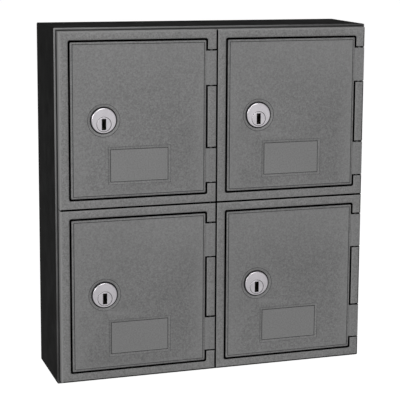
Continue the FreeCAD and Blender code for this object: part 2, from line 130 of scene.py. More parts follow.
@dataclass(frozen=True)
class Bench:
    """Hand tools: primitives at their size and place, and edit-mode work on picked edges and faces."""

    place: Place

    @staticmethod
    def clear() -> None:
        """Leave edit mode and let go of everything."""
        if bpy.context.object and bpy.context.object.mode != "OBJECT":
            bpy.ops.object.mode_set(mode="OBJECT")
        bpy.ops.object.select_all(action="DESELECT")

    @classmethod
    def take(cls, piece: Piece) -> None:
        """Make one piece the only one selected and the active one.

        Args:
            piece: the object to work on.
        """
        cls.clear()
        piece.select_set(True)
        bpy.context.view_layer.objects.active = piece

    @classmethod
    @contextmanager
    def editing(cls, piece: Piece, mode: str) -> Iterator[None]:
        """Open a piece in edit mode with what was picked before still picked.

        Args:
            piece: the object to edit.
            mode: "VERT", "EDGE" or "FACE".
        """
        cls.take(piece)
        bpy.context.tool_settings.mesh_select_mode = tuple(mode == m for m in ("VERT", "EDGE", "FACE"))
        bpy.ops.object.mode_set(mode="EDIT")
        yield
        bpy.ops.object.mode_set(mode="OBJECT")

    @staticmethod
    def unpick(piece: Piece) -> None:
        """Drop the mesh selection of a piece in object mode."""
        for group in (piece.data.vertices, piece.data.edges, piece.data.polygons):
            group.foreach_set("select", [False] * len(group))

    def pick_edges(self, piece: Piece, test: EdgeTest) -> int:
        """Pick the edges whose two ends pass a test.

        Args:
            piece: the object whose edges are looked at.
            test: takes both ends of an edge in drawing millimetres.

        Returns:
            How many edges were picked.
        """
        self.unpick(piece)
        points = piece.data.vertices
        picked = [e for e in piece.data.edges if test(*(self.place.local(points[i].co) for i in e.vertices))]
        for edge in picked:
            edge.select = True
            for i in edge.vertices:
                points[i].select = True
        return len(picked)

    def pick_faces(self, piece: Piece, facing: Facing, test: FaceTest) -> int:
        """Pick the faces that look one way and whose centres pass a test.

        Args:
            piece: the object whose faces are looked at.
            facing: the direction they have to look in.
            test: takes a face's centre in drawing millimetres.

        Returns:
            How many faces were picked.
        """
        self.unpick(piece)
        count = 0
        for face in piece.data.polygons:
            if facing.matches(face.normal) and test(self.place.local(face.center)):
                face.select = True
                for i in face.vertices:
                    piece.data.vertices[i].select = True
                for key in face.edge_keys:
                    piece.data.edges[piece.data.edge_keys.index(key)].select = True
                count += 1
        return count

    def block(self, name: str, x: Span, y: Span, z: Span) -> Piece:
        """Add a block between two corners.

        Args:
            name: the object's name.
            x: its left and right.
            y: its front and back.
            z: its bottom and top.

        Returns:
            The new object, with its place in its mesh.
        """
        self.clear()
        low, high = self.place.at(x[0], y[0], z[0]), self.place.at(x[1], y[1], z[1])
        bpy.ops.mesh.primitive_cube_add(size=1, location=(low + high) / 2)
        bpy.context.object.scale = high - low
        return self.settle(name)

    def bar(self, name: str, radius: float, axis: Span, y: Span, sides: int = FINE) -> Piece:
        """Add a round bar that runs from front to back.

        Args:
            name: the object's name.
            radius: its radius.
            axis: the x and z of its axis.
            y: its front and back.
            sides: how many flats go round it.

        Returns:
            The new object, with its place in its mesh.
        """
        ends = ((axis[0], depth, axis[1]) for depth in y)
        return self.taper(name, radius, radius, *ends, sides)

    def taper(
        self, name: str, near: float, far: float, start: Point, end: Point, sides: int = MEDIUM
    ) -> Piece:
        """Add a bar that goes from one radius to another.

        Args:
            name: the object's name.
            near: the radius at the start.
            far: the radius at the end.
            start: one end of its axis.
            end: the other end.
            sides: how many flats go round it.

        Returns:
            The new object, with its place in its mesh.
        """
        self.clear()
        a, b = self.place.at(*start), self.place.at(*end)
        turn = (b - a).to_track_quat("Z", "Y").to_euler()
        bpy.ops.mesh.primitive_cone_add(
            vertices=sides,
            radius1=near * MM,
            radius2=far * MM,
            depth=(b - a).length,
            location=(a + b) / 2,
            rotation=turn,
        )
        return self.settle(name)

    @classmethod
    def settle(cls, name: str) -> Piece:
        """Put the active object's place, turn and scale into its mesh.

        Args:
            name: the object's new name.

        Returns:
            The active object.
        """
        piece = bpy.context.object
        bpy.ops.object.transform_apply(location=True, rotation=True, scale=True)
        piece.name = name
        piece.data.name = name
        return piece

    def round_edges(self, piece: Piece, test: EdgeTest, width: float, segments: int) -> None:
        """Round over picked edges in edit mode.

        Args:
            piece: the object to work on.
            test: picks the edges, from both their ends.
            width: how far the rounding reaches from the edge.
            segments: how many strips it has.
        """
        if not self.pick_edges(piece, test):
            raise ValueError(f"{piece.name}: no edge to round")
        with self.editing(piece, "EDGE"):
            bpy.ops.mesh.bevel(offset=width * MM, segments=segments, profile=0.5, clamp_overlap=True)

    def inset_steps(self, piece: Piece, facing: Facing, test: FaceTest, steps: list[Span]) -> None:
        """Inset picked faces several times over, which turns their border into a profile.

        Args:
            piece: the object to work on.
            facing: the direction the faces look in.
            test: picks the faces by their centres.
            steps: for each inset how far in it goes and how far out the faces are raised.
        """
        if not self.pick_faces(piece, facing, test):
            raise ValueError(f"{piece.name}: no face to inset")
        with self.editing(piece, "FACE"):
            for thickness, raised in steps:
                bpy.ops.mesh.inset(thickness=thickness * MM, depth=raised * MM, use_even_offset=True)

    def ring(self, name: str, x: Span, y: Span, z: Span, width: float, corner: float) -> Piece:
        """Model a picture-frame body that cuts a groove along a border.

        Args:
            name: the object's name.
            x: its left and right.
            y: its front and back.
            z: its bottom and top.
            width: how wide its bars are.
            corner: the outer corner radius.

        Returns:
            The new object.
        """
        body = self.block(name, x, y, z)
        self.round_edges(body, depth_edge, corner, segments=4)
        core = self.block("core", grown(x, -width), grown(y, OVER), grown(z, -width))
        self.round_edges(core, depth_edge, max(corner - width, 0.2), segments=4)
        return self.cut(body, core)

    def draw_out(self, piece: Piece, depth: float, axis: Span, step: float, shrink: float) -> None:
        """Extrude the cap at one depth backwards and scale it about its axis.

        Args:
            piece: the object to work on.
            depth: where the cap lies.
            axis: the x and z of the axis.
            step: how far the cap moves.
            shrink: the cap's new size as a share of the old.
        """
        self.pick_faces(piece, Facing.BACK, lambda c: level(c.y, depth))
        centre = self.place.at(axis[0], depth, axis[1])
        with self.editing(piece, "FACE"):
            bpy.ops.mesh.extrude_region_move(TRANSFORM_OT_translate={"value": (0, step * MM, 0)})
            bpy.ops.transform.resize(value=(shrink, 1, shrink), center_override=centre)

    def file_flats(self, piece: Piece, axis: Span, reach: float, y: Span) -> None:
        """Cut a round bar flat on its left and right.

        Args:
            piece: the bar.
            axis: the x and z of its axis.
            reach: how far each flat lies from the axis.
            y: from where to where the flats run.
        """
        x, z = axis
        for span in ((x - 3 * reach, x - reach), (x + reach, x + 3 * reach)):
            self.cut(piece, self.block("file", span, y, about(z, THROUGH)))

    def cut(self, piece: Piece, *tools: Piece) -> Piece:
        """Cut a piece with tool bodies one after another, which are used up.

        Args:
            piece: the object that stays.
            tools: the objects that are used up.

        Returns:
            The piece.
        """
        for tool in tools:
            self.work(piece, tool, Shaping.CUT)
        return piece

    def work(self, piece: Piece, tool: Piece, shaping: Shaping) -> Piece:
        """Cut, fuse or intersect a piece with a tool body, which is used up.

        Args:
            piece: the object that stays.
            tool: the object that is used up.
            shaping: what the tool does.

        Returns:
            The piece.
        """
        modifier = piece.modifiers.new("shape", "BOOLEAN")
        modifier.operation = shaping.value
        modifier.solver = "EXACT"
        modifier.object = tool
        self.take(piece)
        bpy.ops.object.modifier_apply(modifier=modifier.name)
        bpy.data.objects.remove(tool)
        return piece

    def soften(self, piece: Piece, width: float, segments: int = 2, angle: float = 40.0) -> None:
        """Break every sharp edge that is left.

        Args:
            piece: the object to work on.
            width: the width of the broken edge.
            segments: how many strips it has.
            angle: edges sharper than this, in degrees, are broken.
        """
        modifier = piece.modifiers.new("soften", "BEVEL")
        modifier.width = width * MM
        modifier.segments = segments
        modifier.limit_method = "ANGLE"
        modifier.angle_limit = math.radians(angle)
        modifier.use_clamp_overlap = True
        modifier.miter_outer = "MITER_ARC"
        self.take(piece)
        bpy.ops.object.modifier_apply(modifier=modifier.name)

    def polish(self, piece: Piece, angle: float = 40.0) -> None:
        """Merge doubles, turn faces outwards and shade round parts smooth.

        Args:
            piece: the object to finish.
            angle: edges sharper than this, in degrees, stay sharp.
        """
        self.unpick(piece)
        with self.editing(piece, "VERT"):
            bpy.ops.mesh.select_all(action="SELECT")
            bpy.ops.mesh.remove_doubles(threshold=0.002 * MM)
            bpy.ops.mesh.normals_make_consistent(inside=False)
        self.take(piece)
        modifier = piece.modifiers.new("flat faces first", "WEIGHTED_NORMAL")
        modifier.keep_sharp = True
        bpy.ops.object.shade_smooth_by_angle(angle=math.radians(angle))
        bpy.ops.object.modifier_apply(modifier=modifier.name)


def inside(value: float, span: Span, slack: float = 0.01) -> bool:
    """Tell whether a value lies in a span, with a little slack."""
    return span[0] - slack <= value <= span[1] + slack


def grown(span: Span, by: float) -> Span:
    """Move both ends of a span out by a length."""
    return (span[0] - by, span[1] + by)


def about(middle: float, half: float) -> Span:
    """Return the span that reaches equally far to both sides of its middle."""
    return (middle - half, middle + half)


def level(a: float, b: float, slack: float = 0.01) -> bool:
    """Tell whether two lengths agree within the slack."""
    return abs(a - b) <= slack


def depth_edge(a: Vector, b: Vector) -> bool:
    """Tell whether an edge runs from front to back."""
    return level(a.x, b.x) and level(a.z, b.z)


def edge_at_depth(depth: float) -> EdgeTest:
    """Return a test for edges that lie in one plane parallel to the front."""
    return lambda a, b: level(a.y, depth) and level(b.y, depth)


def edge_at_end(ends: Span) -> EdgeTest:
    """Return a test for level edges at the bottom or the top of a piece."""
    return lambda a, b: level(a.z, b.z) and any(level(a.z, end) for end in ends)


def edge_along(x: float, y: float) -> EdgeTest:
    """Return a test for upright edges that stand at one place in plan."""
    return lambda a, b: all(level(p.x, x) and level(p.y, y) for p in (a, b))


def crown(width: float, height: float, steps: int) -> list[Span]:
    """Divide a quarter ellipse into inset steps.

    Args:
        width: how far in from the border the crown reaches.
        height: how much it rises.
        steps: how many facets it has.

    Returns:
        For each facet how far in and how far out it goes.
    """
    turns = [math.pi / 2 * i / steps for i in range(steps + 1)]
    line = [(width * (1 - math.cos(t)), height * math.sin(t)) for t in turns]
    return [(b[0] - a[0], b[1] - a[1]) for a, b in zip(line, line[1:])]


# ---------------------------------------------------------------- finishes


@dataclass
class Recipe:
    """A material under construction: its nodes, and the shader they feed."""

    name: str
    material: Material | None = None

    def __post_init__(self) -> None:
        """Start a node tree with a shader and an output, or take up the one that is there."""
        if self.material is None:
            self.material = bpy.data.materials.new(self.name)
            self.material.use_nodes = True
        self.nodes = self.material.node_tree.nodes
        self.shader = self.nodes["Principled BSDF"]
        self.position = self.add("ShaderNodeTexCoord").outputs["Object"]

    def vector(self, operation: str, *inputs: object, output: str = "Vector") -> Socket:
        """Add a step of vector arithmetic.

        Args:
            operation: what is done, such as "SUBTRACT".
            inputs: values or sockets in order.
            output: "Vector", or "Value" where the result is a number.

        Returns:
            The result.
        """
        node = self.nodes.new("ShaderNodeVectorMath")
        node.operation = operation
        for i, value in enumerate(inputs):
            self.feed(node, str(i), value)
        return node.outputs[output]

    def add(self, kind: str, **inputs: object) -> bpy.types.Node:
        """Add a node and set or link its inputs.

        Args:
            kind: the node's type name.
            inputs: values or sockets by input name, with underscores for spaces.

        Returns:
            The new node.
        """
        node = self.nodes.new(kind)
        for key, value in inputs.items():
            self.feed(node, key.replace("_", " "), value)
        return node

    def finish(self, **inputs: object) -> Material:
        """Feed the shader and return the finished material.

        Args:
            inputs: values or sockets by the shader's input names, with underscores for spaces.

        Returns:
            The material.
        """
        for key, value in inputs.items():
            self.feed(self.shader, key.replace("_", " "), value)
        return self.material

    def feed(self, node: bpy.types.Node, key: str, value: object) -> None:
        """Link a socket to an input, or set the input's own value.

        Args:
            node: the node that takes it.
            key: the input's name or number.
            value: a socket or a value.
        """
        socket = node.inputs[int(key)] if key.isdigit() else node.inputs[key]
        if isinstance(value, Socket):
            self.material.node_tree.links.new(value, socket)
        else:
            socket.default_value = value

    def noise(self, scale: float, detail: float = 3.0, roughness: float = 0.5) -> Socket:
        """Add a noise of so many cells per metre and return its value."""
        node = self.add(
            "ShaderNodeTexNoise", Vector=self.position, Scale=scale, Detail=detail, Roughness=roughness
        )
        return node.outputs["Fac"]

    def spread(self, value: Socket, source: Span, target: Span) -> Socket:
        """Map one range of values to another.

        Args:
            value: the values.
            source: what counts as lowest and highest.
            target: what those two become.

        Returns:
            The mapped values.
        """
        node = self.add("ShaderNodeMapRange", Value=value)
        for key, number in zip(("From Min", "From Max", "To Min", "To Max"), (*source, *target)):
            node.inputs[key].default_value = number
        return node.outputs["Result"]

    def blend(self, share: Socket, first: object, second: object, kind: str = "MIX") -> Socket:
        """Mix two colours by a share.

        Args:
            share: how much of the second colour shows.
            first: a colour or a colour socket.
            second: a colour or a colour socket.
            kind: the way they are mixed.

        Returns:
            The mixed colour.
        """
        node = self.nodes.new("ShaderNodeMix")
        node.data_type = "RGBA"
        node.blend_type = kind
        self.feed(node, "0", share)
        self.feed(node, "6", first)
        self.feed(node, "7", second)
        return node.outputs[2]

    def shade(self, colour: Socket, value: Socket) -> Socket:
        """Multiply a colour by a value and return the result."""
        node = self.add("ShaderNodeCombineColor", Red=value, Green=value, Blue=value)
        return self.blend(1.0, colour, node.outputs["Color"], "MULTIPLY")

    def relief(self, height: Socket, depth: float, base: object = None) -> Socket:
        """Turn a height value into a surface normal.

        Args:
            height: values from 0 to 1.
            depth: how deep the relief is, in millimetres.
            base: a normal from another relief, if there is one.

        Returns:
            The bent normal.
        """
        node = self.add("ShaderNodeBump", Height=height, Distance=depth * MM, Strength=1.0)
        if base is not None:
            self.feed(node, "Normal", base)
        return node.outputs["Normal"]

    def edges(self, low: float, high: float) -> Socket:
        """Return 0 on flats and 1 on scuffed outer edges."""
        crease = self.add("ShaderNodeNewGeometry").outputs["Pointiness"]
        return self.spread(crease, (low, high), (0.0, 1.0))


def grey(value: float, warmth: float = 0.0) -> Colour:
    """Return a grey with a touch of warmth as a colour."""
    return (value * (1 + warmth), value, value * (1 - warmth), 1.0)


@dataclass(frozen=True)
class PowderCoat:
    """Baked powder paint: faint mottling, fine orange peel, scuffed lighter edges."""

    name: str
    tone: float
    warmth: float = 0.0
    roughness: float = 0.5
    peel: float = 0.03
    peel_cells: float = 1400.0
    specular: float = 0.35
    rub: float = 1.35
    grain: float = 0.3
    grain_cells: float = 800.0

    def material(self) -> Material:
        """Build the material."""
        recipe = Recipe(self.name)
        mottle = recipe.noise(14.0, 4.0)
        speckle = recipe.noise(self.grain_cells, 2.0, 0.7)
        base = recipe.blend(
            recipe.spread(mottle, (0.35, 0.65), (0.0, 1.0)),
            grey(self.tone * 0.94, self.warmth),
            grey(self.tone * 1.06, self.warmth),
        )
        grains = recipe.spread(speckle, (0.3, 0.7), (1 - self.grain, 1 + self.grain))
        base = recipe.shade(base, grains)
        edge_mix = recipe.blend(recipe.edges(0.52, 0.62), base, grey(self.tone * self.rub, self.warmth))
        cloud = recipe.noise(60.0, 3.0)
        gloss = recipe.spread(cloud, (0.3, 0.7), about(self.roughness, 0.05))
        peel = recipe.relief(recipe.noise(self.peel_cells, 2.0), self.peel)
        bumps = recipe.relief(recipe.noise(260.0, 2.0), self.peel, peel)
        return recipe.finish(
            Base_Color=edge_mix, Roughness=gloss, Normal=bumps, Specular_IOR_Level=self.specular
        )


@dataclass(frozen=True)
class RubbedEdge:
    """Front edge of the case with a painted highlight: bright near one corner, fading away from it."""

    name: str
    corner: Point
    reach: float
    bright: float = 0.26
    dark: float = 0.035

    def material(self) -> Material:
        """Build the material."""
        recipe = Recipe(self.name)
        away = recipe.vector("DISTANCE", recipe.position, self.corner, output="Value")
        patches = recipe.spread(recipe.noise(45.0, 4.0, 0.6), (0.3, 0.7), (-0.04, 0.04))
        share = recipe.add("ShaderNodeMath")
        recipe.feed(share, "0", away)
        recipe.feed(share, "1", patches)
        # painted highlight: bright at the corner, turning to the dark colour with distance
        edge_mix = recipe.spread(share.outputs[0], (0.0, self.reach), (0.0, 1.0))
        base = recipe.blend(edge_mix, grey(self.bright), grey(self.dark))
        scratch = recipe.noise(900.0, 3.0)
        gloss = recipe.spread(scratch, (0.3, 0.7), (0.35, 0.55))
        bumps = recipe.relief(scratch, 0.02)
        return recipe.finish(Base_Color=base, Roughness=gloss, Normal=bumps, Specular_IOR_Level=0.3)


@dataclass(frozen=True)
class Plating:
    """Plated metal with fine turning marks, cloudy gloss and cloudy tarnish."""

    name: str
    colour: Colour
    tarnish: Colour
    roughness: float = 0.28
    mark_depth: float = 0.01
    metallic: float = 1.0

    def material(self) -> Material:
        """Build the material."""
        recipe = Recipe(self.name)
        cloud = recipe.noise(180.0, 4.0)
        base = recipe.blend(recipe.spread(cloud, (0.35, 0.75), (0.0, 0.6)), self.colour, self.tarnish)
        marks = recipe.noise(3200.0, 2.0)
        gloss = recipe.spread(marks, (0.3, 0.7), (self.roughness * 0.8, self.roughness * 1.25))
        bumps = recipe.relief(marks, self.mark_depth)
        return recipe.finish(Base_Color=base, Roughness=gloss, Normal=bumps, Metallic=self.metallic)


@dataclass(frozen=True)
class TurnedNickel(Plating):
    """Nickel plate on faces that were turned in a lathe: fine rings round every lock's axis."""

    axis: Span = (0.0, 0.0)
    pitch: Span = (0.1397, 0.1524)
    rings: float = 9000.0
    ring_depth: float = 0.012

    def material(self) -> Material:
        """Build the material."""
        recipe = Recipe(self.name, super().material())
        offset = recipe.vector("SUBTRACT", recipe.position, (self.axis[0], 0, self.axis[1]))
        flat = recipe.vector("MULTIPLY", offset, (1, 0, 1))
        half = (self.pitch[0] / 2, 1, self.pitch[1] / 2)
        wrapped = recipe.vector("WRAP", flat, half, tuple(-v for v in half))
        radius = recipe.vector("LENGTH", wrapped, output="Value")
        wave = recipe.add("ShaderNodeMath")
        wave.operation = "SINE"
        turns = recipe.spread(radius, (0.0, 1.0), (0.0, self.rings))
        recipe.feed(wave, "0", turns)
        old = recipe.shader.inputs["Normal"].links[0].from_socket
        return recipe.finish(Normal=recipe.relief(wave.outputs[0], self.ring_depth, old))


@dataclass(frozen=True)
class StudioFloor:
    """Pale seamless floor sheet."""

    name: str = "pale_floor"
    tone: float = 0.3
    glow: float = 0.97

    def material(self) -> Material:
        """Build the material."""
        recipe = Recipe(self.name)
        cloud = recipe.noise(3.0, 2.0)
        return recipe.finish(
            Base_Color=recipe.blend(cloud, grey(self.tone), grey(self.tone * 1.02)),
            Roughness=0.9,
            Specular_IOR_Level=0.0,
            Emission_Color=grey(1.0),
            Emission_Strength=self.glow,
        )


def mixed(finish: PowderCoat | Plating | StudioFloor) -> Material:
    """Return a field whose material is mixed when its paint shop opens."""
    return field(default_factory=finish.material)


@dataclass
class PaintShop:
    """Every finish on the cabinet, mixed once."""

    case: Material = mixed(PowderCoat("case_black_coat", 0.0052, 0.02, 0.6, specular=0.03, rub=1.6))
    inside: Material = mixed(PowderCoat("inner_black_coat", 0.02, 0.0, 0.55))
    frame: Material = mixed(PowderCoat("frame_grey_coat", 0.205, 0.004, 0.55, 0.05))
    door: Material = mixed(PowderCoat("door_grey_coat", 0.185, 0.0, 0.55, 0.05))
    # black that stands in for the shade in gaps, seams, grooves and hollows: painted shade
    joint: Material = mixed(PowderCoat("painted_shade_black", 0.004, 0.0, 0.8, specular=0.0, rub=1.0))
    zinc: Material = mixed(Plating("zinc_plate", (0.62, 0.64, 0.66, 1), (0.50, 0.48, 0.42, 1), 0.38))
    pin_steel: Material = mixed(Plating("pin_steel", (0.45, 0.45, 0.46, 1), (0.30, 0.29, 0.28, 1), 0.3))
    # brass darkened almost to black as painted shade for the wafers seen in the keyway
    brass: Material = mixed(
        Plating("brass_painted_shade", (0.020, 0.015, 0.008, 1), (0.008, 0.007, 0.005, 1), 0.6, metallic=0.3)
    )
    floor: Material = mixed(StudioFloor())
    nickel: Material | None = None

    def mix_nickel(self, lock: Vector) -> None:
        """Mix the nickel of the locks, whose rings are centred on one lock's axis."""
        bright, dull = (0.87, 0.84, 0.88, 1), (0.74, 0.71, 0.75, 1)
        self.nickel = TurnedNickel("turned_nickel", bright, dull, 0.34, axis=(lock.x, lock.z)).material()


def coat(piece: Piece, *materials: Material) -> None:
    """Give a piece its materials, the first one all over."""
    piece.data.materials.clear()
    for material in materials:
        piece.data.materials.append(material)


# ---------------------------------------------------------------- the cabinet's cells


@dataclass(frozen=True)
class Cell:
    """One compartment: its name, and the place its pieces are drawn from."""

    name: str
    place: Place
    outer: tuple[Facing, ...]
    half_seam: float = 0.3

    @classmethod
    def from_frame(cls, row: str, column: str) -> "Cell":
        """Find a cell's origin from its door frame's CAD box.

        Args:
            row: "upper" or "lower".
            column: "left" or "right".

        Returns:
            The cell.
        """
        name = f"{row}_{column}"
        low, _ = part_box(f"door_frame_{name}")
        seam = Vector((cls.half_seam, 0, cls.half_seam)) * MM
        upright = Facing.UP if row == "upper" else Facing.DOWN
        sideways = Facing.LEFT if column == "left" else Facing.RIGHT
        return cls(name, Place(tuple(low - seam)), (upright, sideways))

    @staticmethod
    def is_lit(normal: Vector) -> bool:
        """Tell whether a side face looks up or to the left, towards the lights, so that it gets no painted
        shade.
        """
        return normal.z > LEAN or normal.x < -LEAN

    def node(self, kind: str) -> str:
        """Return the CAD node of this kind in this cell."""
        return f"{kind}_{self.name}"


@dataclass
class CellPiece:
    """A piece that is modelled once and fitted to every cell."""

    kind: str
    body: str
    slot: str
    finish: Material
    joint: Material | None = None
    smooth_angle: float = 40.0

    def build(self, bench: Bench) -> Piece:
        """Model the piece in one cell; each kind of piece does this its own way.

        Args:
            bench: tools set up in the first cell.

        Returns:
            The piece, ready to be polished.
        """
        raise NotImplementedError(self.kind)

    def dress(self, piece: Piece, cell: Cell) -> None:
        """Give the piece its finish, and the black painted shade of its gaps and hollows where it has any.

        Args:
            piece: the copy to dress.
            cell: the cell that it is in.
        """
        coat(piece, self.finish, *([self.joint] if self.joint else []))
        for face in piece.data.polygons:
            centre = cell.place.local(face.center)
            face.material_index = int(bool(self.joint) and self.in_joint(centre, face.normal, cell))

    def in_joint(self, centre: Vector, normal: Vector, cell: Cell) -> bool:
        """Tell whether a face gets the black painted shade of a gap or hollow.

        Args:
            centre: the face's middle in the cell.
            normal: the way it looks.
            cell: the cell that the piece is in.

        Returns:
            True for the faces that are painted black as shade.
        """
        return False

    def fit(self, cells: list[Cell]) -> None:
        """Model the piece in the first cell and copy it to the others.

        Args:
            cells: every cell of the cabinet.
        """
        bench = Bench(cells[0].place)
        first = self.build(bench)
        bench.polish(first, self.smooth_angle)
        for cell in cells:
            piece = first
            if cell is not cells[0]:
                piece = first.copy()
                piece.data = first.data.copy()
                bpy.context.scene.collection.objects.link(piece)
                bench.take(piece)
                bpy.ops.transform.translate(
                    value=Vector(cell.place.origin) - Vector(cells[0].place.origin)
                )
                bpy.ops.object.transform_apply(location=True, rotation=True, scale=True)
            self.dress(piece, cell)
            piece.name = piece.data.name = f"{self.kind}_{cell.name}.skin"
            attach(piece, self.body.format(cell=cell.name))
            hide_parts(cell.node(self.kind))
        LOG.info("%s: %d copies of %d faces", self.kind, len(cells), len(first.data.polygons))


@dataclass(frozen=True)
class CellSizes:
    """Sizes that the pieces of a cell share."""

    width: float = 139.7
    height: float = 152.4
    seam: float = 0.6
    door_gap: float = 1.0
    side_bar: float = 8.5
    end_bar: float = 8.2
    hinge_bar: float = 8.85
    window_inset: float = 16.0
    frame_depth: float = 8.0
    lip_front: float = 5.4
    knuckle_inner: float = 27.5
    knuckle_outer: float = 58.0
    knuckle_gap: float = 0.8
    pin_x: float = 135.2
    pin_y: float = 3.4
    pin_radius: float = 1.2
    pin_end: float = 6.0
    barrel: float = 4.2
    door_thick: float = 5.0
    lock_x: float = 38.4
    plug_drop: float = 3.2

    @property
    def middle(self) -> float:
        """Mid-height of the cell."""
        return self.height / 2

    @property
    def knuckle_left(self) -> float:
        """Left side of the frame's own knuckles."""
        return self.width - self.hinge_bar

    @property
    def door_x(self) -> Span:
        """Left and right of the door panel."""
        return (self.side_bar + self.door_gap, self.knuckle_left - self.door_gap)

    @property
    def door_z(self) -> Span:
        """Bottom and top of the door panel."""
        low = self.end_bar + self.door_gap
        return (low, self.height - low)

    @property
    def lock_axis(self) -> Span:
        """X and z of the lock's axis."""
        return (self.lock_x, self.middle)

    @property
    def plug_axis(self) -> Span:
        """X and z of the plug's axis."""
        return (self.lock_x, self.middle - self.plug_drop)

    def pin_bore(self, bench: Bench, play: float, z: Span) -> Piece:
        """Model the round bar that the hinge pin fills, or its bore with some play.

        Args:
            bench: tools set up in the first cell.
            play: how much wider than the pin it is.
            z: its bottom and top.

        Returns:
            The bar.
        """
        ends = ((self.pin_x, self.pin_y, height) for height in z)
        radius = self.pin_radius + play
        return bench.taper("pin", radius, radius, *ends, COARSE)

    def knuckles(self, grow: float) -> list[Span]:
        """Return the two height spans of the door's knuckles, each end moved out by grow."""
        reach = (self.knuckle_inner - grow, self.knuckle_outer + grow)
        return [
            (self.middle - reach[1], self.middle - reach[0]),
            (self.middle + reach[0], self.middle + reach[1]),
        ]


SIZES = CellSizes()


@dataclass
class DoorFrame(CellPiece):
    """Cast frame: crowned bars, a stop lip behind the door and three fixed knuckles."""

    chamfer: float = 0.45
    # width of the painted shade band along the frame's outer edges away from the light
    dark_edge: float = 1.0
    wall_lean: float = 0.3
    steep: float = 0.75
    crown_width: float = 3.4
    crown_height: float = 0.9
    crown_steps: int = 7
    corner_round: float = 1.4
    corner_steps: int = 8
    screw_inset: float = 30.0
    screw_z: float = 12.1
    sink_radius: float = 2.8
    sink_depth: float = 1.4
    shank_radius: float = 1.5

    def build(self, bench: Bench) -> Piece:
        """Model the frame."""
        s = SIZES
        half = s.seam / 2
        front = self.chamfer + self.crown_height
        x, z = grown((0, s.width), -half), grown((0, s.height), -half)
        piece = bench.block("door_frame", x, (front, s.frame_depth), z)
        bench.cut(piece, self.recess(bench))
        x, z = grown((0, s.width), -s.window_inset), grown((0, s.height), -s.window_inset)
        window = bench.block("window", x, (-OVER, THROUGH), z)
        bench.round_edges(window, depth_edge, self.corner_round, self.corner_steps)
        bench.cut(piece, window)
        for span in s.knuckles(s.knuckle_gap / 2):
            x, y = (s.door_x[1], s.width + OVER), (-OVER, s.frame_depth + OVER)
            bench.cut(piece, bench.block("notch", x, y, span))
        bench.inset_steps(
            piece,
            Facing.FRONT,
            lambda c: level(c.y, front),
            [(self.chamfer, self.chamfer)] + crown(self.crown_width, self.crown_height, self.crown_steps),
        )
        self.drill(bench, piece)
        return piece

    def recess(self, bench: Bench) -> Piece:
        """Model the body that the door's opening removes, with its round corners."""
        s = SIZES
        x, z = (s.side_bar, s.knuckle_left), grown((0, s.height), -s.end_bar)
        tool = bench.block("recess", x, (-OVER, s.lip_front), z)
        bench.round_edges(tool, depth_edge, self.corner_round, self.corner_steps)
        return tool

    def in_joint(self, centre: Vector, normal: Vector, cell: Cell) -> bool:
        """Tell whether a face gets painted shade: the side of a bar, a band along the outer edges away from
        the light, or the lip behind the door.
        """
        s = SIZES
        if normal.y < -LEVEL:
            return level(centre.y, s.lip_front, 0.1)
        margin = s.seam / 2 + self.dark_edge
        away = {
            Facing.LEFT: centre.x,
            Facing.RIGHT: s.width - centre.x,
            Facing.DOWN: centre.z,
            Facing.UP: s.height - centre.z,
        }
        if any(away[side] < margin and normal.dot(Vector(side.value)) > LEAN for side in cell.outer):
            return -LEVEL < normal.y < -self.wall_lean and not cell.is_lit(normal)
        return abs(normal.y) < self.steep

    def drill(self, bench: Bench, piece: Piece) -> None:
        """Sink the screw holes and bore the frame for its hinge pin.

        Args:
            bench: tools set up in the first cell.
            piece: the frame so far.
        """
        s = SIZES
        front, deep = s.lip_front, s.lip_front + self.sink_depth
        for x in (self.screw_inset, s.width - self.screw_inset):
            for z in (self.screw_z, s.height - self.screw_z):
                wide = self.sink_radius
                sink = bench.taper("sink", wide, self.shank_radius, (x, front, z), (x, deep, z), COARSE)
                through = (front, s.frame_depth + OVER)
                bench.cut(piece, sink, bench.bar("shank", self.shank_radius, (x, z), through, COARSE))
        bench.cut(piece, s.pin_bore(bench, 0.0, (s.pin_end, s.height + OVER)))


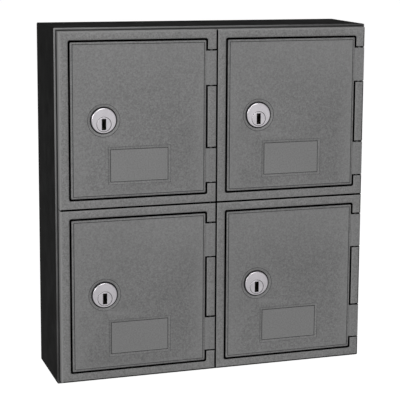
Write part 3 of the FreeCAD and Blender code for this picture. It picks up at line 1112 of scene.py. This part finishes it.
@dataclass
class Door(CellPiece):
    """Cast door: rounded panel with an engraved border, knuckles, label recess and lock seat."""

    steep: float = 0.55
    upward: float = 0.9
    outward: float = 0.5
    rim: float = 1.3
    corner: float = 1.3
    rim_steps: int = 7
    corner_steps: int = 8
    flat_end: float = 129.0
    line_inset: float = 1.9
    line_width: float = 0.45
    line_depth: float = 0.35
    line_corner: float = 0.4
    knuckle_sink: float = 0.5
    knuckle_rise: float = 0.42
    knuckle_foot: float = 133.1
    knuckle_crest: float = 135.5
    knuckle_round: float = 1.5
    knuckle_end: float = 0.3
    crest_round: float = 0.8
    arm: float = 5.0
    arm_overlap: float = 0.5
    arm_step: float = 0.03
    pin_play: float = 0.06
    smooth_angle: float = 14.5
    wall: float = 5.0
    skin: float = 2.6
    pocket_round: float = 3.0
    boss_radius: float = 16.0
    label_size: Span = (55.6, 32.6)
    label_z: float = 36.8
    label_edge: float = 0.2
    label_bevel: float = 2.1
    label_depth: float = 0.6
    label_line: float = 0.4
    label_lap: float = 0.02
    label_corner: float = 0.2
    ring_radius: float = 14.3
    ring_width: float = 0.3
    dish_radius: float = 13.6
    pocket_radius: float = 11.8
    dish_depth: float = 0.9
    seat_depth: float = 1.7
    hole_radius: float = 9.5
    hole_flat: float = 8.4

    def build(self, bench: Bench) -> Piece:
        """Model the door."""
        s = SIZES
        piece = bench.block("door", s.door_x, (0, s.door_thick), s.door_z)
        bench.round_edges(piece, depth_edge, self.corner, self.corner_steps)
        bench.round_edges(piece, edge_at_depth(0), self.rim, self.rim_steps)
        for span in s.knuckles(-s.knuckle_gap / 2):
            bench.work(piece, self.knuckle(bench, span), Shaping.FUSE)
        bench.cut(piece, self.back_pocket(bench))
        self.cut_lines(bench, piece)
        self.seat_lock(bench, piece)
        bench.cut(piece, s.pin_bore(bench, self.pin_play, (0, s.height)))
        return piece

    def in_joint(self, centre: Vector, normal: Vector, cell: Cell) -> bool:
        """Tell whether a face gets painted shade: a steep side, the floor of an engraved line or the lock's
        seat.
        """
        s = SIZES
        from_lock = math.dist((centre.x, centre.z), s.lock_axis)
        if normal.y < -LEVEL:
            engraved = centre.x < self.flat_end and any(
                level(centre.y, depth, 0.02)
                for depth in (self.line_depth, self.label_depth + self.line_depth)
            )
            return engraved or (from_lock < self.pocket_radius and level(centre.y, self.seat_depth, 0.02))
        # faces that look up catch the light and get no painted shade
        if normal.z > self.upward and centre.y < self.line_depth:
            return False
        outside = Facing.RIGHT in cell.outer and normal.x > self.outward and centre.x > s.pin_x
        return not outside and abs(normal.y) < self.steep

    def knuckle(self, bench: Bench, span: Span) -> Piece:
        """Model one knuckle: a low crest in front, a rounded corner beside it, half-round behind.

        Args:
            bench: tools set up in the first cell.
            span: its bottom and top.

        Returns:
            The knuckle with the arm that joins it to the panel.
        """
        s = SIZES
        left, right = s.pin_x - s.barrel, s.pin_x + s.barrel
        crest = self.knuckle_sink - self.knuckle_rise - self.arm_step
        back = s.pin_y + s.barrel
        barrel = bench.block("barrel", (left, right), (crest, back), span)
        behind = edge_at_depth(back)
        bench.round_edges(barrel, lambda a, b: level(a.x, b.x) and behind(a, b), s.barrel, segments=10)
        self.raise_crest(bench, barrel, crest)
        bench.round_edges(barrel, edge_along(right, crest), self.knuckle_round, segments=6)
        bench.round_edges(barrel, edge_at_end(span), self.knuckle_end, segments=2)
        x, y = (s.door_x[1] - self.arm, left + self.arm_overlap), (self.knuckle_sink, s.door_thick)
        return bench.work(barrel, bench.block("arm", x, y, span), Shaping.FUSE)

    def raise_crest(self, bench: Bench, barrel: Piece, crest: float) -> None:
        """Slope the front of a knuckle back from its crest to the arm beside it.

        Args:
            bench: tools set up in the first cell.
            barrel: the knuckle's body.
            crest: how deep its highest line lies.
        """
        bench.unpick(barrel)
        for x in (self.knuckle_foot, self.knuckle_crest):
            with bench.editing(barrel, "VERT"):
                bpy.ops.mesh.select_all(action="SELECT")
                bpy.ops.mesh.bisect(plane_co=bench.place.at(x, 0, 0), plane_no=(1, 0, 0), use_fill=False)
        foot = self.knuckle_foot + 0.01
        bench.pick_edges(barrel, lambda a, b: all(p.x < foot and level(p.y, crest) for p in (a, b)))
        with bench.editing(barrel, "EDGE"):
            bpy.ops.transform.translate(value=Vector((0, self.knuckle_rise, 0)) * MM)
        low = crest + self.knuckle_rise
        for x, y in ((self.knuckle_foot, low), (self.knuckle_crest, crest)):
            bench.round_edges(barrel, edge_along(x, y), self.crest_round, segments=4)

    def back_pocket(self, bench: Bench) -> Piece:
        """Model the hollow of the door's back, with a boss left standing for the lock."""
        s = SIZES
        x, z = grown(s.door_x, -self.wall), grown(s.door_z, -self.wall)
        y = (self.skin, s.door_thick + OVER)
        tool = bench.block("pocket", x, y, z)
        bench.round_edges(tool, depth_edge, self.pocket_round, segments=4)
        return bench.cut(tool, bench.bar("boss", self.boss_radius, s.lock_axis, grown(y, OVER)))

    def cut_lines(self, bench: Bench, piece: Piece) -> None:
        """Sink the label recess and cut the fine lines that edge it and the panel.

        Args:
            bench: tools set up in the first cell.
            piece: the door so far.
        """
        s = SIZES
        x, z = grown(s.door_x, -self.line_inset), grown(s.door_z, -self.line_inset)
        y = (-OVER, self.line_depth)
        border = bench.ring("border", x, y, z, self.line_width, self.line_corner)
        wide, tall = (length / 2 for length in self.label_size)
        middle = s.width / 2
        x, z = about(middle, wide), about(self.label_z, tall)
        label = bench.block("label", x, (-0.001, self.label_depth), z)
        bench.pick_faces(label, Facing.BACK, lambda c: True)
        shrink = ((wide - self.label_bevel) / wide, 1.0, (tall - self.label_bevel) / tall)
        centre = bench.place.at(middle, self.label_depth, self.label_z)
        with bench.editing(label, "FACE"):
            bpy.ops.transform.resize(value=shrink, center_override=centre)
        corner = self.label_corner
        grow = self.label_edge / 3
        edge = bench.ring("label_edge", grown(x, grow), y, grown(z, grow), self.label_edge, corner)
        grow = self.label_lap - self.label_bevel
        y = (0.1, self.label_depth + self.line_depth)
        line = bench.ring("label_line", grown(x, grow), y, grown(z, grow), self.label_line, corner)
        bench.cut(piece, border, label, edge, line)

    def seat_lock(self, bench: Bench, piece: Piece) -> None:
        """Cut the dish, the seat and the hole with two flats that the lock sits in.

        Args:
            bench: tools set up in the first cell.
            piece: the door so far.
        """
        x, z = axis = SIZES.lock_axis
        flare = 0.1 * (self.dish_radius - self.pocket_radius) / self.dish_depth
        dish = bench.taper(
            "dish",
            self.dish_radius + flare,
            self.pocket_radius - 0.5,
            (x, -0.1, z),
            (x, self.dish_depth + 0.5 * flare, z),
            FINE,
        )
        bench.cut(piece, dish, self.lock_ring(bench))
        bench.cut(piece, bench.bar("seat", self.pocket_radius, axis, (-OVER, self.seat_depth)))
        deep = SIZES.door_thick + OVER
        hole = bench.bar("hole", self.hole_radius, axis, (0.1, deep))
        bench.file_flats(hole, axis, self.hole_flat, (0, deep + OVER))
        bench.cut(piece, hole)

    def lock_ring(self, bench: Bench) -> Piece:
        """Model the body that the fine ring round the lock's dish removes."""
        axis = SIZES.lock_axis
        ring = bench.bar("ring", self.ring_radius, axis, (-OVER, self.line_depth))
        core = bench.bar("core", self.ring_radius - self.ring_width, axis, about(0, 2 * OVER))
        return bench.cut(ring, core)


@dataclass
class LockCylinder(CellPiece):
    """Lock housing: rounded face, threaded barrel with a flat on each side, bore for the plug."""

    smooth_angle: float = 35.0
    face_radius: float = 10.8
    face_sides: int = 128
    proud: float = 0.8
    seat: float = 1.7
    barrel_radius: float = 9.4
    barrel_start: float = 1.2
    flat: float = 8.3
    length: float = 15.5
    thread_start: float = 3.5
    thread_pitch: float = 1.0
    thread_depth: float = 0.45
    bore_radius: float = 5.46
    plug_face_bore: float = 6.5
    plug_seat: float = 1.2
    frontward: float = 0.5
    slack: float = 0.05

    def build(self, bench: Bench) -> Piece:
        """Model the housing."""
        y = (-self.proud, self.seat)
        piece = bench.bar("face", self.face_radius, SIZES.lock_axis, y, self.face_sides)
        bench.round_edges(piece, edge_at_depth(-self.proud), self.proud, segments=6)
        bench.work(piece, self.barrel(bench), Shaping.FUSE)
        axis = SIZES.plug_axis
        bench.cut(piece, bench.bar("wide", self.plug_face_bore, axis, (-2 * OVER, self.plug_seat)))
        bench.cut(piece, bench.bar("bore", self.bore_radius, axis, (0, self.length + OVER), MEDIUM))
        return piece

    def in_joint(self, centre: Vector, normal: Vector, cell: Cell) -> bool:
        """Tell whether a face lies in the narrow gap round the plug's face, which gets painted shade."""
        from_plug = math.dist((centre.x, centre.z), SIZES.plug_axis)
        beside = normal.y > -self.frontward or level(centre.y, self.plug_seat)
        near = from_plug < self.plug_face_bore + self.slack
        return beside and near and centre.y < self.plug_seat + 0.01

    def barrel(self, bench: Bench) -> Piece:
        """Model the barrel: its thread is drawn out of its end cap, then the flats are filed on."""
        axis = SIZES.lock_axis
        y = (self.barrel_start, self.thread_start)
        barrel = bench.bar("barrel", self.barrel_radius, axis, y, MEDIUM)
        root = self.barrel_radius - self.thread_depth
        radius, y = self.barrel_radius, self.thread_start
        while y < self.length - 0.01:
            next_radius = root if radius > root else self.barrel_radius
            step = min(self.thread_pitch / 2, self.length - y)
            bench.draw_out(barrel, y, axis, step, next_radius / radius)
            radius, y = next_radius, y + step
        bench.file_flats(barrel, axis, self.flat, (0, THROUGH))
        return barrel


@dataclass
class LockPlug(CellPiece):
    """Turning plug: chamfered face, tall keyway painted black inside as shade, square tail."""

    smooth_angle: float = 35.0
    face_radius: float = 6.22
    face_round: float = 0.35
    radius: float = 5.4
    proud: float = 0.8
    shoulder: float = 1.14
    length: float = 15.5
    tail: float = 17.3
    tail_side: float = 5.0
    keyway: Span = (3.8, 9.6)
    keyway_depth: float = 12.0
    mouth: float = 0.15
    slack: float = 0.02
    steep: float = 0.3

    def build(self, bench: Bench) -> Piece:
        """Model the plug."""
        x, z = axis = SIZES.plug_axis
        piece = bench.bar("plug", self.face_radius, axis, (-self.proud, self.shoulder))
        bench.round_edges(piece, edge_at_depth(-self.proud), self.face_round, segments=3)
        bench.work(piece, bench.bar("body", self.radius, axis, (0, self.length), MEDIUM), Shaping.FUSE)
        half = self.tail_side / 2
        tail = bench.block("tail", about(x, half), (self.length - 1, self.tail), about(z, half))
        bench.work(piece, tail, Shaping.FUSE)
        wide, tall = (length / 2 for length in self.keyway)
        y = (-2 * OVER, self.keyway_depth)
        return bench.cut(piece, bench.block("slot", about(x, wide), y, about(z, tall)))

    def in_joint(self, centre: Vector, normal: Vector, cell: Cell) -> bool:
        """Tell whether a face lies inside the keyway or beside the plug's face, where painted shade goes."""
        wide, tall = (length / 2 for length in self.keyway)
        x, z = SIZES.plug_axis
        across = inside(centre.x, about(x, wide), self.slack)
        upright = inside(centre.z, about(z, tall), self.slack)
        in_keyway = across and upright and inside(centre.y, (self.mouth - self.proud, self.keyway_depth))
        return in_keyway or (centre.y < self.shoulder and abs(normal.y) < self.steep)


@dataclass
class LockNut(CellPiece):
    """Hexagon nut with chamfered corners, screwed on the lock's barrel."""

    across: float = 25.4
    thick: float = 3.5
    bore: float = 9.45
    edge: float = 0.2

    def build(self, bench: Bench) -> Piece:
        """Model the nut."""
        x, z = axis = SIZES.lock_axis
        front, back = SIZES.door_thick, SIZES.door_thick + self.thick
        reach = self.across / 2
        radius = reach / math.cos(math.pi / 6)
        piece = bench.bar("nut", radius, axis, (front, back), sides=6)
        bench.take(piece)
        bpy.ops.transform.rotate(
            value=math.radians(30), orient_axis="Y", center_override=bench.place.at(x, front, z)
        )
        bpy.ops.object.transform_apply(location=True, rotation=True, scale=True)
        dome = bench.taper("dome", radius + 3, reach - 0.2, (x, front - 2, z), (x, back + 0.001, z), FINE)
        bench.work(piece, dome, Shaping.KEEP)
        bench.cut(piece, bench.bar("hole", self.bore, axis, grown((front, back), OVER), MEDIUM))
        bench.soften(piece, self.edge)
        return piece


@dataclass
class LockCam(CellPiece):
    """Pressed cam with a joggle, hanging from the plug's square tail."""

    thick: float = 1.6
    width: float = 11.0
    back: float = 15.7
    tip_face: float = 10.3
    heel: float = 7.0
    shoulder: float = 10.0
    toe: float = 16.0
    length: float = 27.0
    hole: float = 5.0
    punch: Span = (10.0, 25.0)
    edge: float = 0.2

    def build(self, bench: Bench) -> Piece:
        """Model the cam: a flat strip, extruded down in steps to make its joggle."""
        x, z = SIZES.plug_axis
        y = (self.back, self.back + self.thick)
        piece = bench.block("cam", about(x, self.width / 2), y, (z - self.shoulder, z + self.heel))
        steps = [
            Vector((0, self.tip_face - self.back, self.shoulder - self.toe)),
            Vector((0, 0, self.toe - self.length)),
        ]
        for step in steps:
            lowest = min(bench.place.local(v.co).z for v in piece.data.vertices)
            bench.pick_faces(piece, Facing.DOWN, lambda c: level(c.z, lowest, 0.05))
            with bench.editing(piece, "FACE"):
                bpy.ops.mesh.extrude_region_move(TRANSFORM_OT_translate={"value": step * MM})
        ends = (z + self.heel, z - self.length)
        corner: EdgeTest = lambda a, b: depth_edge(a, b) and any(level(a.z, e) for e in ends)
        bench.round_edges(piece, corner, self.width / 3, segments=6)
        half = self.hole / 2
        bench.cut(piece, bench.block("hole", about(x, half), self.punch, about(z, half)))
        bench.soften(piece, self.edge)
        return piece


@dataclass
class CamScrew(CellPiece):
    """Slotted round-head screw behind the cam."""

    smooth_angle: float = 35.0
    head_radius: float = 4.0
    head: float = 2.0
    head_round: float = 1.5
    shank: float = 1.5
    start: float = 17.3
    reach: float = 3.0
    cut_size: Span = (0.8, 0.9)
    edge: float = 0.1

    def build(self, bench: Bench) -> Piece:
        """Model the screw."""
        x, z = axis = SIZES.plug_axis
        top = self.start + self.head
        piece = bench.bar("screw", self.head_radius, axis, (self.start, top), MEDIUM)
        bench.round_edges(piece, edge_at_depth(top), self.head_round, segments=6)
        y = (self.start - self.reach, self.start + 0.5)
        bench.work(piece, bench.bar("shank", self.shank, axis, y, COARSE), Shaping.FUSE)
        wide, deep = self.cut_size
        x, y = about(x, self.head_radius + 2 * OVER), (top - deep, top + OVER)
        bench.cut(piece, bench.block("slot", x, y, about(z, wide / 2)))
        bench.soften(piece, self.edge, angle=50)
        return piece


@dataclass
class HingePin(CellPiece):
    """Steel pin with rounded ends, through all the knuckles."""

    smooth_angle: float = 35.0
    end_round: float = 0.5

    def build(self, bench: Bench) -> Piece:
        """Model the pin."""
        span = grown((0, SIZES.height), -SIZES.pin_end)
        piece = SIZES.pin_bore(bench, 0.0, span)
        bench.round_edges(piece, edge_at_end(span), self.end_round, segments=4)
        return piece


# ---------------------------------------------------------------- the case


@dataclass
class Case:
    """Folded sheet case: a wrap with rounded bends, and the flat sheets inside it."""

    shop: PaintShop
    sheet: float = 1.6
    bend: float = 0.9
    inner_bend: float = 0.4
    edge: float = 0.5
    # painted highlight on the front edge: how deep its band reaches and how far it fades
    rub_depth: float = 0.45
    rub_reach: float = 0.34
    wrap_nodes: tuple[str, ...] = ("side_panel_left", "side_panel_right", "top_panel", "bottom_panel")
    inner_nodes: tuple[str, ...] = ("back_panel", "face_plate", "shelf", "divider_upper", "divider_lower")

    def build(self) -> None:
        """Model the wrap and finish the sheets that keep their CAD shape."""
        piece = self.wrap()
        low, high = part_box("top_panel")
        corner = (low.x, low.y, high.z)
        edge_highlight = RubbedEdge("rubbed_front_edge", corner, self.rub_reach).material()
        coat(piece, self.shop.case, edge_highlight)
        # the faces along the front edge get the painted highlight
        for face in piece.data.polygons:
            if face.center.y < low.y + self.rub_depth * MM:
                face.material_index = 1
        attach(piece, "case")
        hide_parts(*self.wrap_nodes)
        for name in self.inner_nodes:
            coat(frame["nodes"][name], self.shop.case if name == "back_panel" else self.shop.inside)
        coat(frame["nodes"]["frame_screws"], self.shop.zinc)
        LOG.info("case: wrap of %d faces, %d plain sheets", len(piece.data.polygons), len(self.inner_nodes))

    def wrap(self) -> Piece:
        """Model the four outer sides as one folded sheet.

        Returns:
            The finished piece.
        """
        low = Vector(map(min, zip(*(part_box(n)[0] for n in self.wrap_nodes))))
        high = Vector(map(max, zip(*(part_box(n)[1] for n in self.wrap_nodes))))
        bench = Bench(Place(tuple(low)))
        size = (high - low) / MM
        piece = bench.block("case_wrap", (0, size.x), (0, size.y), (0, size.z))
        bench.round_edges(piece, depth_edge, self.bend, segments=5)
        t = self.sheet
        x, y, z = grown((0, size.x), -t), grown((0, size.y), OVER), grown((0, size.z), -t)
        hollow = bench.block("hollow", x, y, z)
        bench.round_edges(hollow, depth_edge, self.inner_bend, segments=2)
        bench.cut(piece, hollow)
        bench.soften(piece, self.edge, segments=3, angle=50)
        bench.polish(piece)
        piece.name = piece.data.name = "case_wrap"
        return piece


# ---------------------------------------------------------------- studio


@dataclass(frozen=True)
class SoftBox:
    """One large soft light: where it stands from the front's middle, its size and its power."""

    name: str
    offset: Point
    size: float
    power: float


@dataclass
class Studio:
    """Floor, soft light and camera, placed in metres from the middle of the front."""

    shop: PaintShop
    centre: Vector = field(default_factory=Vector)
    eye: Point = (-0.3715, -1.118, 0.2333)
    yaw: float = 18.94
    pitch: float = -9.0
    roll: float = 0.49
    lens: float = 122.6
    shift: Span = (-0.075, -0.125)
    floor_size: float = 60.0
    room_low: float = 0.69
    room_high: float = 0.02
    boxes: tuple[SoftBox, ...] = (
        SoftBox("top_box", (-0.1, -1.2, 1.3), 1.0, 12.8),
        SoftBox("side_box", (-3.0, -2.2, 1.2), 1.4, 52.0),
        SoftBox("fill_box", (0.65, -2.2, 0.3), 1.5, 3.0),
    )

    def build(self) -> None:
        """Set everything up around the front face's centre."""
        low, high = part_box("face_plate")
        face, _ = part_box("door_frame_upper_left")
        self.centre = Vector(((low.x + high.x) / 2, face.y, (low.z + high.z) / 2))
        self.lay_floor()
        self.hang_boxes()
        self.light_room()
        self.set_camera()

    def lay_floor(self) -> None:
        """Lay the floor sheet under the cabinet."""
        Bench.clear()
        bpy.ops.mesh.primitive_plane_add(size=self.floor_size, location=(0, 0, 0))
        floor = bpy.context.object
        floor.name = "floor"
        coat(floor, self.shop.floor)
        floor.visible_diffuse = False
        floor.visible_glossy = False
        floor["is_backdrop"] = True

    def hang_boxes(self) -> None:
        """Hang the soft boxes, each turned to the cabinet."""
        for box in self.boxes:
            data = bpy.data.lights.new(box.name, "AREA")
            data.size = box.size
            data.energy = box.power
            lamp = bpy.data.objects.new(box.name, data)
            bpy.context.scene.collection.objects.link(lamp)
            lamp.location = self.centre + Vector(box.offset)
            lamp.rotation_euler = (-Vector(box.offset)).to_track_quat("-Z", "Y").to_euler()

    def light_room(self) -> None:
        """Light the room: a white backdrop, and walls that grow darker towards the ceiling."""
        world = bpy.data.worlds.new("room")
        bpy.context.scene.world = world
        world.use_nodes = True
        nodes, links = world.node_tree.nodes, world.node_tree.links
        height = nodes.new("ShaderNodeSeparateXYZ")
        links.new(nodes.new("ShaderNodeTexCoord").outputs["Generated"], height.inputs["Vector"])
        walls = nodes.new("ShaderNodeMapRange")
        walls.name = "walls"
        walls.inputs["From Min"].default_value = -1.0
        walls.inputs["To Min"].default_value = self.room_low
        walls.inputs["To Max"].default_value = self.room_high
        links.new(height.outputs["Z"], walls.inputs["Value"])
        backdrop = nodes.new("ShaderNodeMapRange")
        backdrop.name = "backdrop"
        links.new(nodes.new("ShaderNodeLightPath").outputs["Is Camera Ray"], backdrop.inputs["Value"])
        links.new(walls.outputs["Result"], backdrop.inputs["To Min"])
        links.new(backdrop.outputs["Result"], nodes["Background"].inputs["Strength"])
        nodes["Background"].inputs["Color"].default_value = grey(1.0)
        bpy.context.scene.view_settings.view_transform = "Standard"

    def set_camera(self) -> None:
        """Stand the camera at the left, a little above the cabinet's top."""
        data = bpy.data.cameras.new("camera")
        data.lens = self.lens
        data.sensor_width = 36.0
        data.shift_x, data.shift_y = self.shift
        data.clip_end = 200.0
        camera = bpy.data.objects.new("camera", data)
        bpy.context.scene.collection.objects.link(camera)
        camera.location = self.centre + Vector(self.eye)
        turn = Euler((math.radians(90 + self.pitch), 0, -math.radians(self.yaw)), "XYZ").to_matrix()
        tilt = Euler((0, 0, math.radians(self.roll)), "XYZ").to_matrix()
        camera.rotation_euler = (turn @ tilt).to_euler()
        bpy.context.scene.camera = camera


def main() -> None:
    """Build the cabinet piece by piece, light it and measure its size."""
    logging.basicConfig(level=logging.INFO, format="%(name)s: %(message)s")
    shop = PaintShop()
    lock_low, lock_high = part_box("lock_cylinder_upper_left")
    shop.mix_nickel((lock_low + lock_high) / 2)
    cells = [Cell.from_frame(row, column) for row in ("upper", "lower") for column in ("left", "right")]
    Case(shop).build()
    pieces = [
        DoorFrame("door_frame", "case", "cast_grey", shop.frame, shop.joint),
        HingePin("hinge_pin", "case", "zinc_steel", shop.pin_steel),
        Door("door", "door_{cell}", "cast_grey", shop.door, shop.joint),
        LockCylinder("lock_cylinder", "door_{cell}", "lock_chrome", shop.nickel, shop.joint),
        LockNut("lock_nut", "door_{cell}", "zinc_steel", shop.zinc),
        LockPlug("lock_plug", "lock_{cell}", "lock_chrome", shop.nickel, shop.joint),
        LockCam("lock_cam", "lock_{cell}", "zinc_steel", shop.zinc),
        CamScrew("cam_screw", "lock_{cell}", "zinc_steel", shop.zinc),
    ]
    for piece in pieces:
        piece.fit(cells)
    for cell in cells:
        # the wafers take the brass darkened as painted shade
        coat(frame["nodes"][cell.node("lock_wafers")], shop.brass)
    Studio(shop).build()
    boxes = {"cad": CAD_BOX, "visual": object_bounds()}
    {k: [list(map(float, corner)) for corner in v] for k, v in boxes.items()}


if __name__ == "__main__":
    main()
